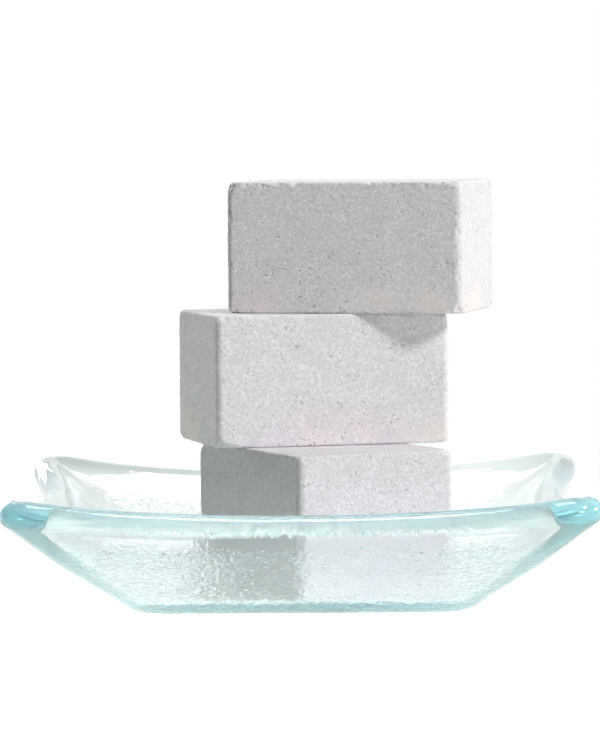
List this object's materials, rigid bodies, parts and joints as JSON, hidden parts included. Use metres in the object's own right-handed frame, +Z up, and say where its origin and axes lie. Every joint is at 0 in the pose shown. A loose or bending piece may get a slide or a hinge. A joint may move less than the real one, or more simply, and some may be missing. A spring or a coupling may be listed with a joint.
{
  "type": "gymnastics chalk block set",
  "caption": "Pressed chalk blocks stacked crosswise in a square slumped-glass dish with raised corners; each block lifts off the one below.",
  "frame": {"origin": "centre of the dish's flat underside, on the surface it stands on", "axes": "+Z up, -Y towards the side the set is seen from, X and Y along the dish's sides"},
  "size_m": [0.2152, 0.2152, 0.1569],
  "materials": {
    "aqua_glass": "clear, fire-polished, pale aqua with fine bubbles",
    "pressed_chalk": "matte off-white pressed mineral with fine grey speckle"
  },
  "bodies": {
    "dish": {"glass_dish": "aqua_glass"},
    "lower": {"lower_block": "pressed_chalk"},
    "middle": {"middle_block": "pressed_chalk"},
    "upper": {"upper_block": "pressed_chalk"}
  },
  "joints": [
    {"name": "lower_block_lift", "type": "slide", "parent": "dish", "child": "lower", "axis": [0, 0, 1], "range_m": [0, 0.08]},
    {"name": "middle_block_lift", "type": "slide", "parent": "lower", "child": "middle", "axis": [0, 0, 1], "range_m": [0, 0.08]},
    {"name": "upper_block_lift", "type": "slide", "parent": "middle", "child": "upper", "axis": [0, 0, 1], "range_m": [0, 0.08]}
  ]
}
